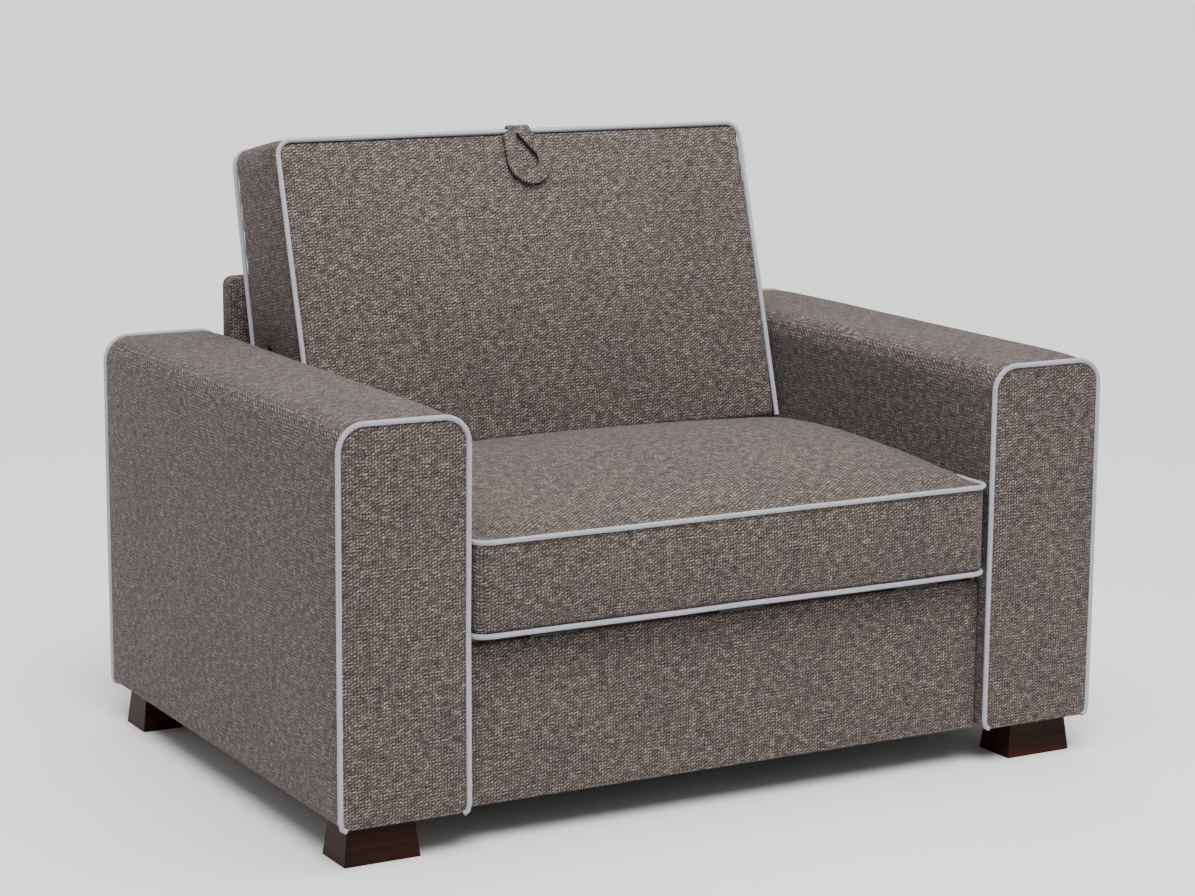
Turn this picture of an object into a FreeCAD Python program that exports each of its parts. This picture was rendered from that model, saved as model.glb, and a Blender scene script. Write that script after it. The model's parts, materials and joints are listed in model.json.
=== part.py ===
"""Convertible chair bed: a box-armed easy chair whose seat and back flip forward into a single bed.

Sizes are in millimetres. While the pieces are made, Y is counted from the front plane of the
arms towards the rear and Z from the floor; save() moves the whole chair so that its origin
lies on the floor under the middle of its length and width.
"""
import FreeCAD
import Part
import math
import os
from FreeCAD import Vector

# Overall chair
chair_width = 1200.0
arm_width = 184.0
arm_height = 586.0
arm_depth = 826.0
arm_top_radius = 28.0
cover_thickness = 12.0
foot_height = 57.0
board_thickness = 18.0

# Corded piping sewn into the seams
piping_radius = 4.0
piping_clearance = 0.3

# Wooden feet
foot_top_width = 96.0
foot_bottom_width = 110.0
foot_top_depth = 60.0
foot_bottom_depth = 70.0
foot_side_inset = 14.0
foot_front_inset = 21.0
foot_rear_inset = 18.0
foot_bolt_radius = 4.0
foot_bolt_spacing = 50.0
foot_bolt_head_radius = 7.0
foot_bolt_head_height = 5.0
foot_bolt_sink_radius = 8.0
foot_bolt_end_cover = 2.0

# Front panel, rear panel and the deck between them
panel_recess = 20.0
panel_thickness = 14.0
panel_side_gap = 3.0
panel_top = 276.0
panel_corner_radius = 12.0
rail_thickness = 25.0
rail_bottom = 70.0
rear_panel_height = 668.0
rear_panel_thickness = 31.0
rear_panel_inset = 5.0
rear_panel_padding = 6.0
rear_panel_corner_radius = 14.0
side_rail_thickness = 30.0
side_rail_top = 276.0
ledger_width = 20.0
ledger_height = 20.0
ledger_top = 160.0
slat_count = 9
slat_width = 53.0
slat_thickness = 12.0
slat_end_gap = 3.0
head_mattress_top = 284.0
head_mattress_side_gap = 5.0
head_mattress_end_gap = 5.0
mattress_edge_radius = 12.0
dust_cover_thickness = 2.0

# Stations of the cushions' lofts, as shares of the half width
loft_stations = (-1.0, -0.6, 0.0, 0.6, 1.0)

# Seat section
seat_front = -7.0
seat_bottom = 292.0
seat_front_top = 417.0
seat_rear_top = 431.0
seat_back_setback = 295.0
seat_side_gap = 8.0
seat_corner_radius = 14.0
seat_crown = 34.0
seat_edge_crown = 8.0
seat_front_bulge = 6.0
seat_side_bulge = 3.6
section_wall = 27.0
recess_depth = 74.0
recess_rear_setback = 228.0
pad_gap = 1.0
mattress_proud = 3.0
frame_bar = 22.0
frame_depth_low = 46.0
frame_depth_high = 70.0
strap_count = 6
strap_width = 55.0
strap_thickness = 1.6
seat_rest_length = 44.0
seat_rest_width = 12.0
seat_rest_inset = 50.0
seat_narrow_setback = 6.0
piping_end_setback = 12.0
piping_sink = 1.0

# Back section, built upright and then leaned
back_side_gap = 22.0
back_lean = 13.0
back_rear_setback = 99.0
back_seat_level = 433.0
back_rear_height = 532.0
back_front_height = 524.0
back_top_thickness = 165.0
back_meeting_height = 59.0
back_meeting_thickness = 190.0
back_crown = 16.0
back_edge_crown = 4.0
back_top_bulge = 5.0
back_top_edge_bulge = 1.0
back_mitre_depth = 70.0
back_mitre_rise = 2.0
back_corner_radius = 24.0
back_recess_margin = 34.0
mitre_gap = 2.0
hinge_relief = 9.0
buffer_height = 34.0
buffer_width = 16.0
buffer_gap = 0.3

# Hinges
fold_hinge_depth = 55.0
front_hinge_y = 2.0
front_hinge_z = 285.5
hinge_radius = 4.0
hinge_pin_radius = 2.0
hinge_pin_clearance = 0.05
hinge_leaf_thickness = 2.5
hinge_width = 72.0
hinge_knuckles = 5
hinge_knuckle_gap = 0.4
hinge_side_inset = 91.0
hinge_finger_start = 1.5
hinge_pin_overhang = 1.0
leaf_clearance = 0.5
leaf_end_gap = 2.0
leaf_seat_gap = 0.3

# Folding legs at the foot of the bed
leg_pivot_height = 215.0
leg_pivot_depth = 58.0
leg_width = 20.0
leg_thickness = 6.0
leg_side_gap = 5.0
leg_axle_radius = 8.0
leg_axle_wall = 1.5
leg_axle_clearance = 0.05
leg_bush_wall = 3.0
leg_cap_height = 26.0
leg_cap_wall = 2.0
leg_floor_gap = 1.0

# Pull loop: a folded strap that comes over the top seam of the back
loop_length = 85.0
loop_outer_radius = 37.0
loop_eye_radius = 16.0
loop_top_width = 41.0
loop_parting = 3.0
loop_thickness = 5.0
loop_edge_radius = 1.8
loop_swing = 17.0
loop_offset = -6.0
loop_tilt = 6.9
loop_wrap = 143.0

# Bolts that hold the deck to the arms
rail_bolt_radius = 4.0
rail_bolt_head_radius = 9.0
rail_bolt_head_height = 4.0
rail_bolt_end_inset = 90.0
rail_bolt_middle_offset = 40.0
rail_bolt_rise = 20.0

# Derived places
half_width = chair_width / 2
bay_half_width = half_width - arm_width
seat_half_width = bay_half_width - seat_side_gap
back_half_width = bay_half_width - back_side_gap
seat_back_meeting = arm_depth - seat_back_setback
recess_rear = arm_depth - recess_rear_setback
back_rear_at_seat = arm_depth - back_rear_setback
lean = math.radians(back_lean)
rear_reach = arm_depth + piping_radius
front_reach = seat_front - seat_front_bulge
depth_middle = (rear_reach + front_reach) / 2
fold_hinge_z = seat_bottom + fold_hinge_depth
fold_hinge_y = (back_rear_at_seat + (fold_hinge_z - back_seat_level) * math.tan(lean)
                - fold_hinge_depth / math.cos(lean))
back_foot_y = fold_hinge_y + fold_hinge_depth * math.cos(lean)
back_foot_z = fold_hinge_z - fold_hinge_depth * math.sin(lean)
panel_half_width = bay_half_width - panel_side_gap
rail_front = panel_recess + panel_thickness
rail_rear = rail_front + rail_thickness
rear_panel_rear = arm_depth - rear_panel_inset
rear_panel_front = rear_panel_rear - rear_panel_thickness
side_rail_outer = bay_half_width
side_rail_inner = side_rail_outer - side_rail_thickness
bed_level = 2 * front_hinge_z - seat_bottom
seat_recess_half = seat_half_width - section_wall
back_recess_half = back_half_width - section_wall
narrow_from = seat_back_meeting + seat_narrow_setback
outer_hinge = seat_recess_half - hinge_side_inset
hinge_centres = (-outer_hinge, 0.0, outer_hinge)
rail_bolt_z = (ledger_top + side_rail_top) / 2 + rail_bolt_rise
rail_bolt_places = (rail_rear + rail_bolt_end_inset,
                    (rail_rear + rear_panel_front) / 2 + rail_bolt_middle_offset,
                    rear_panel_front - rail_bolt_end_inset)

X_AXIS = Vector(1, 0, 0)
Y_AXIS = Vector(0, 1, 0)
Z_AXIS = Vector(0, 0, 1)


def box(x0, x1, y0, y1, z0, z1):
    """A block between two corners."""
    return Part.makeBox(x1 - x0, y1 - y0, z1 - z0, Vector(x0, y0, z0))


def rod_x(y, z, radius, x0, x1):
    """A round bar along X."""
    return Part.makeCylinder(radius, x1 - x0, Vector(x0, y, z), X_AXIS)


def plate_x(points, x0, x1):
    """A flat piece cut to a Y, Z outline and as thick as x0 to x1."""
    corners = [Vector(x0, y, z) for y, z in points]
    face = Part.Face(Part.makePolygon(corners + corners[:1]))
    return face.extrude(Vector(x1 - x0, 0, 0))


def mirrored(shape):
    """The same piece on the other side of the chair."""
    return shape.mirror(Vector(0, 0, 0), X_AXIS)


def join(shapes):
    """One solid from pieces that share faces."""
    return shapes[0].multiFuse(shapes[1:]).removeSplitter()


def arc(start, end, bulge):
    """An arc from start to end whose middle stands off the chord by the vector bulge."""
    middle = (start + end) * 0.5 + bulge
    return Part.Arc(start, middle, end).toShape()


def line(start, end):
    """A straight edge."""
    return Part.LineSegment(start, end).toShape()


def arch_edges(half, height, radius):
    """Edges of an arch in the XZ plane: up one side, round the top and down the other."""
    turn = radius * (1 - math.sqrt(0.5))
    left_low = Vector(-half, 0, 0)
    left_high = Vector(-half, 0, height - radius)
    top_left = Vector(-half + radius, 0, height)
    top_right = Vector(half - radius, 0, height)
    right_high = Vector(half, 0, height - radius)
    right_low = Vector(half, 0, 0)
    return [
        line(left_low, left_high),
        Part.Arc(left_high, Vector(-half + turn, 0, height - turn), top_left).toShape(),
        line(top_left, top_right),
        Part.Arc(top_right, Vector(half - turn, 0, height - turn), right_high).toShape(),
        line(right_high, right_low),
    ]


def arch_tube(half, height, corner, radius):
    """A round cord along an arch."""
    path = Part.Wire(arch_edges(half, height, corner))
    circle = Part.Wire(Part.makeCircle(radius, Vector(-half, 0, 0), Z_AXIS))
    return path.makePipeShell([circle], True, False)


def arch_block(half, height, corner, y0, y1):
    """A block with the outline of an arch, from y0 to y1."""
    edges = arch_edges(half, height, corner)
    edges.append(line(Vector(half, 0, 0), Vector(-half, 0, 0)))
    block = Part.Face(Part.Wire(edges)).extrude(Vector(0, y1 - y0, 0))
    block.translate(Vector(0, y0, 0))
    return block


def turned(shape, degrees):
    """The shape turned about X."""
    copy = shape.copy()
    copy.rotate(Vector(0, 0, 0), X_AXIS, degrees)
    return copy


def moved(shape, x, y, z):
    """The shape moved."""
    copy = shape.copy()
    copy.translate(Vector(x, y, z))
    return copy


def leaned(shape):
    """Puts a piece of the back section, built upright, in its place."""
    return moved(turned(shape, -back_lean), 0, back_foot_y, back_foot_z)


def section_loft(outline, half):
    """A cushion lofted across the chair from outline(share), share being 1 at the middle."""
    wires = []
    for station in loft_stations:
        wire = Part.Wire(outline(1 - station ** 2))
        wire.translate(Vector(station * half, 0, 0))
        wires.append(wire)
    return Part.makeLoft(wires, True, False)


def spaced(count, low, high):
    """Centres of a number of like pieces spread evenly between two limits."""
    step = (high - low) / count
    return [low + step * (index + 0.5) for index in range(count)]


# Arms: a padded cover over a timber box, with piping round both ends


def arm_cover():
    height = arm_height - foot_height
    outer = arch_block(arm_width / 2, height, arm_top_radius, 0, arm_depth)
    inner = arch_block(arm_width / 2 - cover_thickness, height - cover_thickness,
                       arm_top_radius - cover_thickness, cover_thickness, arm_depth - cover_thickness)
    cover = outer.cut(inner)
    for y in (0, arm_depth):
        groove = arch_tube(arm_width / 2, height, arm_top_radius, piping_radius + piping_clearance)
        cover = cover.cut(moved(groove, 0, y, 0))
    return moved(cover, half_width - arm_width / 2, 0, foot_height)


def arm_piping():
    height = arm_height - foot_height
    cords = []
    for y in (0, arm_depth):
        cords.append(moved(arch_tube(arm_width / 2, height, arm_top_radius, piping_radius), 0, y, 0))
    return moved(Part.Compound(cords), half_width - arm_width / 2, 0, foot_height)


def arm_frame():
    gap = piping_clearance
    inner = arm_width / 2 - cover_thickness - gap
    middle = half_width - arm_width / 2
    low = foot_height + gap
    high = arm_height - cover_thickness - gap
    front = cover_thickness + gap
    rear = arm_depth - cover_thickness - gap
    corner = arm_top_radius - cover_thickness
    board = board_thickness
    end_board = arch_block(inner, high - low, corner, 0, board)
    pieces = [
        moved(end_board, middle, front, low),
        moved(end_board, middle, rear - board, low),
        moved(end_board, middle, (front + rear - board) / 2, low),
        box(middle - inner, middle + inner, front, rear, low, low + board),
        box(middle - inner + corner, middle + inner - corner, front, rear, high - board, high),
    ]
    return join(pieces)


# Feet and their bolts


def foot():
    """A block of dark wood that widens towards the floor, standing at the origin."""
    top = Part.makePolygon([
        Vector(-foot_top_width / 2, -foot_top_depth / 2, foot_height),
        Vector(foot_top_width / 2, -foot_top_depth / 2, foot_height),
        Vector(foot_top_width / 2, foot_top_depth / 2, foot_height),
        Vector(-foot_top_width / 2, foot_top_depth / 2, foot_height),
        Vector(-foot_top_width / 2, -foot_top_depth / 2, foot_height),
    ])
    bottom = Part.makePolygon([
        Vector(-foot_bottom_width / 2, -foot_bottom_depth / 2, 0),
        Vector(foot_bottom_width / 2, -foot_bottom_depth / 2, 0),
        Vector(foot_bottom_width / 2, foot_bottom_depth / 2, 0),
        Vector(-foot_bottom_width / 2, foot_bottom_depth / 2, 0),
        Vector(-foot_bottom_width / 2, -foot_bottom_depth / 2, 0),
    ])
    block = Part.makeLoft([bottom, top], True, True)
    for side in (-1, 1):
        x = side * foot_bolt_spacing / 2
        block = block.cut(Part.makeCylinder(foot_bolt_radius + piping_clearance, foot_height + 1, Vector(x, 0, 0)))
        sink = Part.makeCylinder(foot_bolt_sink_radius, foot_height / 2, Vector(x, 0, 0))
        block = block.cut(sink)
    return block


def foot_bolts():
    """The two bolts that pass up through one foot into the arm's bottom board."""
    bolts = []
    for side in (-1, 1):
        x = side * foot_bolt_spacing / 2
        head_top = foot_height / 2
        head = Part.makeCylinder(foot_bolt_head_radius, foot_bolt_head_height,
                                 Vector(x, 0, head_top - foot_bolt_head_height))
        top = foot_height + board_thickness - foot_bolt_end_cover
        shank = Part.makeCylinder(foot_bolt_radius, top - head_top, Vector(x, 0, head_top))
        bolts.append(join([head, shank]))
    return bolts


def foot_places():
    """Name and centre of each foot."""
    x = half_width - foot_side_inset - foot_bottom_width / 2
    front = foot_front_inset + foot_bottom_depth / 2
    rear = arm_depth - foot_rear_inset - foot_bottom_depth / 2
    return {
        "front_left_foot": (-x, front),
        "front_right_foot": (x, front),
        "rear_left_foot": (-x, rear),
        "rear_right_foot": (x, rear),
    }


# Base between the arms


def front_panel():
    """The upholstered board below the seat, with rounded upper corners."""
    height = panel_top - foot_height
    block = arch_block(panel_half_width, height, panel_corner_radius, panel_recess, rail_front)
    return moved(block, 0, 0, foot_height)


def front_rail():
    return box(-side_rail_outer, side_rail_outer, rail_front, rail_rear, rail_bottom, rail_top())


def rail_top():
    """The front rail ends under the hinge leaves that are screwed onto it."""
    return front_hinge_z - hinge_leaf_thickness / 2


def rear_panel_cover():
    """Padded cover of the rear panel, open at the front of the board it wraps."""
    low = foot_height
    padding = rear_panel_padding
    block = arch_block(bay_half_width, rear_panel_height - low, rear_panel_corner_radius,
                       rear_panel_front, rear_panel_rear)
    board = arch_block(bay_half_width - padding, rear_panel_height - low - padding,
                       rear_panel_corner_radius - padding, rear_panel_front + padding, rear_panel_rear - padding)
    return moved(block.cut(board), 0, 0, low)


def rear_panel_board():
    inset = rear_panel_padding + piping_clearance
    low = foot_height
    board = arch_block(bay_half_width - inset, rear_panel_height - low - inset,
                       rear_panel_corner_radius - rear_panel_padding, rear_panel_front + inset,
                       rear_panel_rear - inset)
    return moved(board, 0, 0, low)


def side_rail():
    return box(side_rail_inner, side_rail_outer, rail_rear, rear_panel_front, rail_bottom, side_rail_top)


def slat_ledger():
    return box(side_rail_inner - ledger_width, side_rail_inner, rail_rear, rear_panel_front,
               ledger_top - ledger_height, ledger_top)


def deck_slats():
    """Sprung slats that lie on the ledgers and carry the head mattress."""
    reach = side_rail_inner - slat_end_gap
    slats = []
    for y in spaced(slat_count, rail_rear, rear_panel_front):
        slats.append(box(-reach, reach, y - slat_width / 2, y + slat_width / 2,
                         ledger_top, ledger_top + slat_thickness))
    return slats


def head_mattress():
    reach = side_rail_inner - head_mattress_side_gap
    pad = box(-reach, reach, rail_rear + head_mattress_end_gap, rear_panel_front - head_mattress_end_gap,
              ledger_top + slat_thickness, head_mattress_top)
    return pad.makeFillet(mattress_edge_radius, pad.Edges)


def seat_rests():
    """Rubber blocks on the side rails that carry the folded seat section."""
    blocks = []
    for y in (rail_rear + seat_rest_inset, narrow_from - seat_rest_inset):
        block = box(side_rail_inner, side_rail_inner + seat_rest_width, y - seat_rest_length / 2,
                    y + seat_rest_length / 2, side_rail_top, seat_bottom - buffer_gap)
        blocks += [block, mirrored(block)]
    return blocks


def back_buffers():
    """Rubber wedges on the rear panel that the leaning back rests against."""
    top = rear_panel_height - rear_panel_corner_radius
    low = top - buffer_height
    rear = rear_panel_front

    def rear_face(z):
        return back_foot_y + (z - back_foot_z) * math.tan(lean)

    points = [(rear, low), (rear, top), (rear_face(top) + buffer_gap / math.cos(lean), top),
              (rear_face(low) + buffer_gap / math.cos(lean), low)]
    outer = back_half_width - 2 * piping_radius
    wedge = plate_x(points, outer - buffer_width, outer)
    return [wedge, mirrored(wedge)]


def rail_bolts():
    """Bolts that clamp the side rails to the boards of the arms."""
    bolts = []
    inner = side_rail_inner
    reach = bay_half_width + cover_thickness + board_thickness / 2
    for y in rail_bolt_places:
        head = rod_x(y, rail_bolt_z, rail_bolt_head_radius, inner - rail_bolt_head_height, inner)
        shank = rod_x(y, rail_bolt_z, rail_bolt_radius, inner, reach)
        bolt = join([head, shank])
        bolts += [bolt, mirrored(bolt)]
    return bolts


def rail_bolt_holes(shape):
    """Cuts the clearance holes of the rail bolts."""
    reach = bay_half_width + cover_thickness + board_thickness
    for y in rail_bolt_places:
        shape = shape.cut(rod_x(y, rail_bolt_z, rail_bolt_radius + piping_clearance, side_rail_inner - 1, reach))
    return shape


def dust_cover():
    """Black cloth stapled under the deck."""
    low = rail_bottom - dust_cover_thickness
    return box(-side_rail_outer, side_rail_outer, rail_front, rear_panel_front, low, rail_bottom)


# Hinges


def knuckle_spans(first):
    """X spans of a hinge's knuckles, the even ones or the odd ones."""
    step = hinge_width / hinge_knuckles
    spans = []
    for index in range(first, hinge_knuckles, 2):
        low = -hinge_width / 2 + index * step + hinge_knuckle_gap / 2
        spans.append((low, low + step - hinge_knuckle_gap))
    return spans


def hinge_half(first, arm_points):
    """Knuckles round the axis at the origin, each on its own finger of a leaf.

    arm_points are the Y, Z outline of the leaf; its fingers reach the axis.
    """
    knuckles = []
    finger_points, leaf_points = arm_points
    for low, high in knuckle_spans(first):
        barrel = rod_x(0, 0, hinge_radius, low, high)
        finger = plate_x(finger_points, low, high)
        knuckles.append(barrel.fuse(finger))
    leaf = plate_x(leaf_points, -hinge_width / 2, hinge_width / 2)
    bore = rod_x(0, 0, hinge_pin_radius + hinge_pin_clearance, -hinge_width, hinge_width)
    return join([leaf] + knuckles).cut(bore)


def rectangle(y0, y1, z0, z1):
    return [(y0, z0), (y1, z0), (y1, z1), (y0, z1)]


def hinge_pin():
    reach = hinge_width / 2 + hinge_pin_overhang
    return rod_x(0, 0, hinge_pin_radius, -reach, reach)


def at_hinges(shape, y, z):
    """The shape at each hinge along the axis."""
    return [moved(shape, x, y, z) for x in hinge_centres]


def front_base_leaf():
    """Flat leaf screwed onto the front rail."""
    half = hinge_leaf_thickness / 2
    start = hinge_radius + hinge_finger_start
    finger = rectangle(0, start, -half, half)
    leaf = rectangle(start, rail_rear - leaf_end_gap - front_hinge_y, -half, half)
    return hinge_half(0, (finger, leaf))


def front_seat_leaf():
    """Angled leaf that runs back under the seat's front wall and up to the steel frame."""
    thickness = hinge_leaf_thickness
    under = seat_bottom - front_hinge_z - leaf_seat_gap
    start = hinge_radius + hinge_finger_start
    bend = seat_front + section_wall - front_hinge_y
    finger = rectangle(0, start, hinge_radius - thickness, hinge_radius)
    low = under - thickness
    top = seat_bottom + frame_depth_high - front_hinge_z
    leaf = [(start, hinge_radius - thickness), (start, under), (bend, under), (bend, top),
            (bend + thickness, top), (bend + thickness, low), (start + thickness, low),
            (start + thickness, hinge_radius - thickness)]
    return hinge_half(1, (finger, leaf))


def fold_seat_leaf():
    """Straight leaf from the fold hinge to the rear bar of the seat frame."""
    half = hinge_leaf_thickness / 2
    start = -(hinge_radius + hinge_finger_start)
    end = recess_rear - pad_gap - fold_hinge_y
    return hinge_half(0, (rectangle(start, 0, -half, half), rectangle(end, start, -half, half)))


def fold_back_leaf():
    """Straight leaf from the fold hinge to the lower bar of the back frame."""
    half = hinge_leaf_thickness / 2
    start = hinge_radius + hinge_finger_start
    end = back_recess_margin + pad_gap
    shape = hinge_half(1, (rectangle(-half, half, 0, start), rectangle(-half, half, start, end)))
    return turned(shape, -back_lean)


# Seat section


def seat_outline(share):
    crown = seat_edge_crown + (seat_crown - seat_edge_crown) * share
    end_y = fold_hinge_y - hinge_relief
    slope = (seat_rear_top - fold_hinge_z) / (fold_hinge_y - seat_back_meeting)
    end_z = fold_hinge_z + hinge_relief * slope - mitre_gap
    front_low = Vector(0, seat_front, seat_bottom)
    front_high = Vector(0, seat_front, seat_front_top)
    rear_high = Vector(0, seat_back_meeting - mitre_gap, seat_rear_top - mitre_gap)
    mitre_low = Vector(0, end_y, end_z)
    rear_low = Vector(0, end_y, seat_bottom)
    bulge = seat_side_bulge + (seat_front_bulge - seat_side_bulge) * share
    return [
        arc(front_low, front_high, Vector(0, -bulge, 0)),
        arc(front_high, rear_high, Vector(0, 0, crown)),
        line(rear_high, mitre_low),
        line(mitre_low, rear_low),
        line(rear_low, front_low),
    ]


def seat_piping(z, radius):
    """Piping round the front and sides of the seat at one level."""
    rear = seat_back_meeting - piping_end_setback
    cord = turned(arch_tube(seat_half_width - piping_sink, rear - seat_front, seat_corner_radius, radius), 90)
    return moved(cord, 0, rear, z)


def seat_plan(half, rear):
    """A tall block with the seat's plan outline, rounded at the front corners."""
    reach = rear - seat_front + seat_front_bulge
    block = turned(arch_block(half, reach, seat_corner_radius, -chair_width, chair_width), 90)
    return moved(block, 0, rear, 0)


def seat_cushion():
    cushion = section_loft(seat_outline, seat_half_width)
    cushion = cushion.common(seat_plan(seat_half_width, arm_depth))
    corner = box(back_half_width, chair_width, narrow_from, arm_depth, 0, arm_height)
    cushion = cushion.cut([corner, mirrored(corner)])
    recess = box(-seat_recess_half, seat_recess_half, seat_front + section_wall, recess_rear,
                 0, seat_bottom + recess_depth)
    cushion = cushion.cut(recess)
    half = hinge_width / 2 + leaf_clearance
    for x in hinge_centres:
        slot = box(x - half, x + half, recess_rear - 1, arm_depth,
                   fold_hinge_z - hinge_radius, fold_hinge_z + hinge_radius)
        cushion = cushion.cut(slot)
    for z in (seat_bottom, seat_front_top):
        cushion = cushion.cut(seat_piping(z, piping_radius + piping_clearance))
    return cushion


def section_frame(half, low, high, depth_low, depth_high):
    """A steel frame of four bars, lying flat, its bars from low to high along Y."""
    outer = box(-half, half, low, high, depth_low, depth_high)
    inner = box(-half + frame_bar, half - frame_bar, low + frame_bar, high - frame_bar,
                depth_low - 1, depth_high + 1)
    return outer.cut(inner)


def seat_frame():
    """Seat frame, in the hollow under the cushion, behind the front hinges' leaves."""
    return section_frame(seat_recess_half - pad_gap, seat_front + section_wall + hinge_leaf_thickness,
                         recess_rear - pad_gap, seat_bottom + frame_depth_low, seat_bottom + frame_depth_high)


def seat_straps():
    """Elastic webbing stretched over the seat frame."""
    low = seat_bottom + frame_depth_high
    half = seat_recess_half - pad_gap
    straps = []
    for y in spaced(strap_count, seat_front + section_wall + frame_bar, recess_rear - frame_bar):
        straps.append(box(-half, half, y - strap_width / 2, y + strap_width / 2, low, low + strap_thickness))
    return straps


def middle_mattress():
    half = seat_recess_half - pad_gap
    pad = box(-half, half, seat_front + section_wall + hinge_leaf_thickness + pad_gap, recess_rear - pad_gap,
              seat_bottom - mattress_proud, seat_bottom + frame_depth_low)
    return pad.makeFillet(mattress_edge_radius / 2, pad.Edges)


# Back section, upright: its rear face is y = 0 and its front is towards -y


def back_outline(share):
    crown = back_edge_crown + (back_crown - back_edge_crown) * share
    top = back_top_edge_bulge + back_top_bulge * share
    rear_low = Vector(0, 0, hinge_relief)
    rear_high = Vector(0, 0, back_rear_height)
    front_high = Vector(0, -back_top_thickness, back_front_height)
    front_low = Vector(0, -back_meeting_thickness, back_meeting_height)
    mitre_low = Vector(0, -back_mitre_depth, hinge_relief + back_mitre_rise)
    return [
        line(rear_low, rear_high),
        arc(rear_high, front_high, Vector(0, 0, top)),
        arc(front_high, front_low, Vector(0, -crown, 0)),
        line(front_low, mitre_low),
        line(mitre_low, rear_low),
    ]


def back_front_angle():
    """Angle between the back's front edge and its rear face, in degrees."""
    run = back_meeting_thickness - back_top_thickness
    rise = back_front_height - back_meeting_height
    return math.degrees(math.atan2(run, rise))


def back_front_piping(radius):
    rise = back_front_height - back_meeting_height
    length = math.hypot(rise, back_meeting_thickness - back_top_thickness)
    cord = arch_tube(back_half_width - piping_sink, length, back_corner_radius, radius)
    return moved(turned(cord, -back_front_angle()), 0, -back_meeting_thickness, back_meeting_height)


def back_rear_piping(radius):
    cord = arch_tube(back_half_width - piping_sink, back_rear_height - back_meeting_height, back_corner_radius, radius)
    return moved(cord, 0, 0, back_meeting_height)


def back_cushion():
    cushion = section_loft(back_outline, back_half_width)
    outline = arch_block(back_half_width, back_rear_height + back_top_bulge, back_corner_radius,
                         -chair_width, chair_width)
    cushion = cushion.common(outline)
    recess = box(-back_recess_half, back_recess_half, -recess_depth, 1,
                 back_recess_margin, back_rear_height - back_recess_margin)
    cushion = cushion.cut(recess)
    half = hinge_width / 2 + leaf_clearance
    for x in hinge_centres:
        slot = box(x - half, x + half, -fold_hinge_depth - hinge_radius, -fold_hinge_depth + hinge_radius,
                   0, back_recess_margin + 1)
        cushion = cushion.cut(slot)
    bore = rod_x(-leg_pivot_depth, leg_pivot_height, leg_axle_radius + leg_bush_wall + piping_clearance,
                 -chair_width, chair_width)
    cushion = cushion.cut(bore)
    cushion = cushion.cut(back_front_piping(piping_radius + piping_clearance))
    return cushion.cut(back_rear_piping(piping_radius + piping_clearance))


def back_frame():
    """Back frame, bored for the bushes of the leg axle."""
    frame = section_frame(back_recess_half - pad_gap, back_recess_margin + pad_gap,
                          back_rear_height - back_recess_margin - pad_gap, frame_depth_low, frame_depth_high)
    frame = turned(frame, 90)
    bore = rod_x(-leg_pivot_depth, leg_pivot_height, leg_axle_radius + leg_bush_wall,
                 -chair_width, chair_width)
    return frame.cut(bore)


def back_straps():
    """Elastic webbing stretched over the front of the back frame."""
    half = back_recess_half - pad_gap
    front = -frame_depth_high
    straps = []
    for z in spaced(strap_count, back_recess_margin + frame_bar, back_rear_height - back_recess_margin - frame_bar):
        straps.append(box(-half, half, front - strap_thickness, front, z - strap_width / 2, z + strap_width / 2))
    return straps


def foot_mattress():
    half = back_recess_half - pad_gap
    pad = box(-half, half, -frame_depth_low, mattress_proud,
              back_recess_margin + pad_gap, back_rear_height - back_recess_margin - pad_gap)
    return pad.makeFillet(mattress_edge_radius / 2, pad.Edges)


def leg_bushes():
    """Plastic bushes pressed into the side bars of the back frame."""
    outer = leg_axle_radius + leg_bush_wall
    inner = leg_axle_radius + leg_axle_clearance
    low = back_recess_half - pad_gap - frame_bar
    bush = rod_x(-leg_pivot_depth, leg_pivot_height, outer, low, back_half_width)
    bush = bush.cut(rod_x(-leg_pivot_depth, leg_pivot_height, inner, low - 1, chair_width))
    return [bush, mirrored(bush)]


def teardrop(top_half, top, radius, centre):
    """A face in the XZ plane: two straight sides from z = top that run into a round end below."""
    start = Vector(top_half, 0, top)
    middle = Vector(0, 0, centre)
    reach = (middle - start).Length
    tangent = math.sqrt(reach ** 2 - radius ** 2)
    angle = math.atan2(middle.z - start.z, middle.x - start.x) + math.asin(radius / reach)
    touch = start + Vector(math.cos(angle), 0, math.sin(angle)) * tangent
    other_start = Vector(-start.x, 0, start.z)
    other_touch = Vector(-touch.x, 0, touch.z)
    edges = [line(start, touch), Part.Arc(touch, Vector(0, 0, centre - radius), other_touch).toShape(),
             line(other_touch, other_start)]
    if top_half:
        edges.append(line(other_start, start))
    return Part.Face(Part.Wire(edges))


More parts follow.
